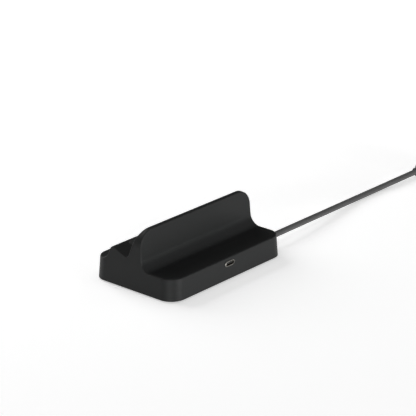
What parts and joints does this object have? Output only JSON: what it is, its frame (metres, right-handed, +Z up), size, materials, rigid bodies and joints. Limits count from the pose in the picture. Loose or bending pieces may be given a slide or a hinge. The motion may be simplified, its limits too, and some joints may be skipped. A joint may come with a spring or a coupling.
{
  "type": "handheld console dock",
  "caption": "Low charging dock with a leaning backrest and cradle for a handheld console, a power socket in its rear wall and a short captive cable that ends in a plug.",
  "frame": {"origin": "on the table under the middle of the housing", "axes": "+Z up, +X along the housing towards the cable's exit, -Y towards the rear wall with the socket"},
  "size_m": [0.3239, 0.0692, 0.0404],
  "materials": {
    "housing_plastic": "moulded black ABS with a fine matt texture",
    "cover_plastic": "moulded black ABS, coarser matt texture",
    "screw_steel": "blackened steel",
    "foot_rubber": "soft black rubber",
    "pad_silicone": "soft dark silicone",
    "board_laminate": "glass laminate under solder mask",
    "chip_epoxy": "moulded epoxy",
    "port_steel": "nickel-plated steel",
    "connector_plastic": "moulded black nylon",
    "clamp_plastic": "moulded nylon",
    "relief_rubber": "moulded soft black rubber",
    "cable_jacket": "grey soft cable jacket",
    "wire_insulation": "coloured wire insulation",
    "plug_overmould": "moulded dark grey plastic",
    "plug_steel": "nickel-plated steel"
  },
  "bodies": {
    "root": {"housing": "housing_plastic", "bottom_cover": "cover_plastic", "cover_screws": "screw_steel", "foot_front_left": "foot_rubber", "foot_front_right": "foot_rubber", "foot_rear_left": "foot_rubber", "foot_rear_right": "foot_rubber", "circuit_board": "board_laminate", "board_screws": "screw_steel", "charge_controller": "chip_epoxy", "port_shell": "port_steel", "port_tongue": "connector_plastic", "cable_clamp": "clamp_plastic", "clamp_screws": "screw_steel", "strain_relief": "relief_rubber", "cable": "cable_jacket", "lead_wires": "wire_insulation", "plug_body": "plug_overmould", "plug_shell": "plug_steel", "plug_insert": "connector_plastic", "backrest_pad": "pad_silicone", "seat_pad": "pad_silicone"}
  },
  "joints": []
}
